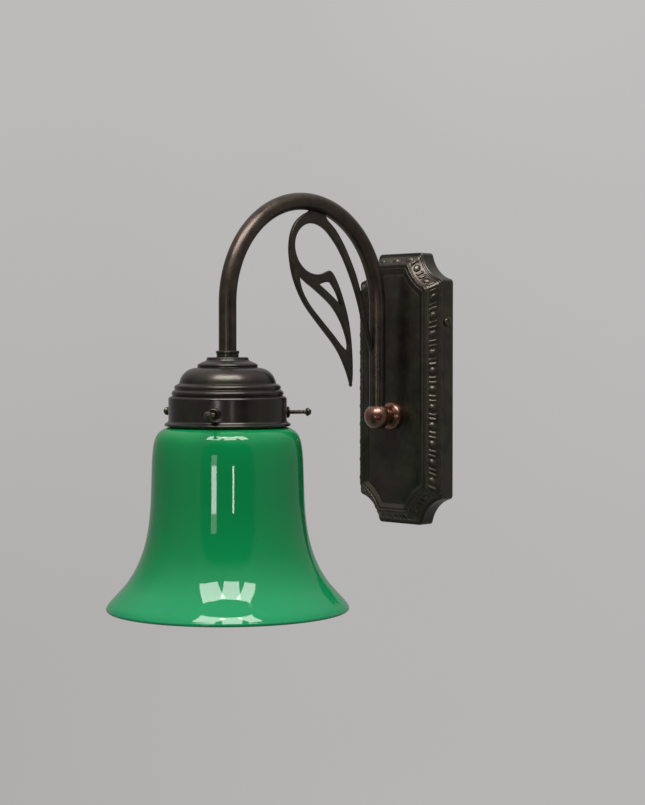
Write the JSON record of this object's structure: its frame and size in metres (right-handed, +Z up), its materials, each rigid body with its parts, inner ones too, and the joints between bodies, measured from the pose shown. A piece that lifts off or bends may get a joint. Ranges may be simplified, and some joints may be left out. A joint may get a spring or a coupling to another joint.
{
  "type": "wall lamp",
  "caption": "Wall lamp: a scalloped wall plate, a hooped tube arm with an open leaf ornament, a domed shade holder with thumb screws, and a flared opal glass bell shade.",
  "frame": {"origin": "midway between the two wall-fixing slots of the bracket, on the wall plane", "axes": "+Z up, +Y into the wall, the lamp stands out towards -Y, X along the wall"},
  "size_m": [0.1778, 0.2849, 0.3091],
  "materials": {
    "plate_bronze": "dark antique bronze with rubbed high points",
    "arm_bronze": "satin brown bronze",
    "leaf_bronze": "dark brown bronze",
    "gallery_bronze": "satin grey-brown bronze",
    "copper_bronze": "glossy copper-brown",
    "screw_bronze": "dark bronze",
    "bare_brass": "plain turned brass",
    "zinc_steel": "zinc plated",
    "tinned_metal": "bright",
    "white_plastic": "moulded",
    "white_ceramic": "glazed",
    "opal_glass": "opal green, very glossy",
    "bulb_glass": "clear",
    "black_glass": "black vitrite",
    "tungsten": "drawn wire",
    "brown_insulation": "smooth",
    "blue_insulation": "smooth",
    "green_insulation": "smooth"
  },
  "bodies": {
    "lamp": {"wall_plate": "plate_bronze", "mounting_bracket": "zinc_steel", "side_screws": "screw_bronze", "earth_lug": "tinned_metal", "earth_screw": "bare_brass", "terminal_block": "white_plastic", "terminal_tubes": "bare_brass", "terminal_screws": "zinc_steel", "block_screw": "zinc_steel", "arm_flange": "copper_bronze", "ball_joint": "copper_bronze", "arm_nipple": "bare_brass", "nipple_washer": "zinc_steel", "nipple_nut": "bare_brass", "arm_tube": "arm_bronze", "leaf_ornament": "leaf_bronze", "neck_collar": "gallery_bronze", "gallery": "gallery_bronze", "gallery_nipple": "bare_brass", "lampholder_cap": "bare_brass", "lampholder_body": "white_plastic", "lampholder_core": "white_ceramic", "thread_shell": "bare_brass", "centre_contact": "bare_brass", "contact_screws": "bare_brass", "live_wire": "brown_insulation", "neutral_wire": "blue_insulation", "earth_wire": "green_insulation", "shade": "opal_glass"},
    "bulb": {"bulb_glass": "bulb_glass", "bulb_cap": "tinned_metal", "bulb_insulator": "black_glass", "bulb_contact": "tinned_metal", "bulb_stem": "bulb_glass", "bulb_filament": "tungsten"},
    "lock_nut_body_1": {"lock_nut_1": "screw_bronze"},
    "thumb_screw_body_1": {"thumb_screw_1": "screw_bronze"},
    "lock_nut_body_2": {"lock_nut_2": "screw_bronze"},
    "thumb_screw_body_2": {"thumb_screw_2": "screw_bronze"},
    "lock_nut_body_3": {"lock_nut_3": "screw_bronze"},
    "thumb_screw_body_3": {"thumb_screw_3": "screw_bronze"}
  },
  "joints": [
    {"name": "bulb_withdraw", "type": "slide", "parent": "lamp", "child": "bulb", "axis": [0, 0, -1], "range_m": [0, 0.028]},
    {"name": "thumb_screw_1_travel", "type": "slide", "parent": "lamp", "child": "lock_nut_body_1", "axis": [0.4067, 0.9135, 0], "range_m": [0, 0.004]},
    {"name": "thumb_screw_1_turn", "type": "hinge", "parent": "lock_nut_body_1", "child": "thumb_screw_body_1", "pos_m": [0.01757, -0.15654, -0.068], "axis": [0.4067, 0.9135, 0], "range_deg": [0, 2885]},
    {"name": "thumb_screw_2_travel", "type": "slide", "parent": "lamp", "child": "lock_nut_body_2", "axis": [-0.9945, -0.1045, 0], "range_m": [0, 0.004]},
    {"name": "thumb_screw_2_turn", "type": "hinge", "parent": "lock_nut_body_2", "child": "thumb_screw_body_2", "pos_m": [-0.04296, -0.20052, -0.068], "axis": [-0.9945, -0.1045, 0], "range_deg": [0, 2885]},
    {"name": "thumb_screw_3_travel", "type": "slide", "parent": "lamp", "child": "lock_nut_body_3", "axis": [0.5878, -0.809, 0], "range_m": [0, 0.004]},
    {"name": "thumb_screw_3_turn", "type": "hinge", "parent": "lock_nut_body_3", "child": "thumb_screw_body_3", "pos_m": [0.02539, -0.23095, -0.068], "axis": [0.5878, -0.809, 0], "range_deg": [0, 2885]}
  ],
  "couplings": [
    {"joint": "thumb_screw_1_turn", "follows": "thumb_screw_1_travel", "rad_per_m": 12566},
    {"joint": "thumb_screw_2_turn", "follows": "thumb_screw_2_travel", "rad_per_m": 12566},
    {"joint": "thumb_screw_3_turn", "follows": "thumb_screw_3_travel", "rad_per_m": 12566}
  ]
}
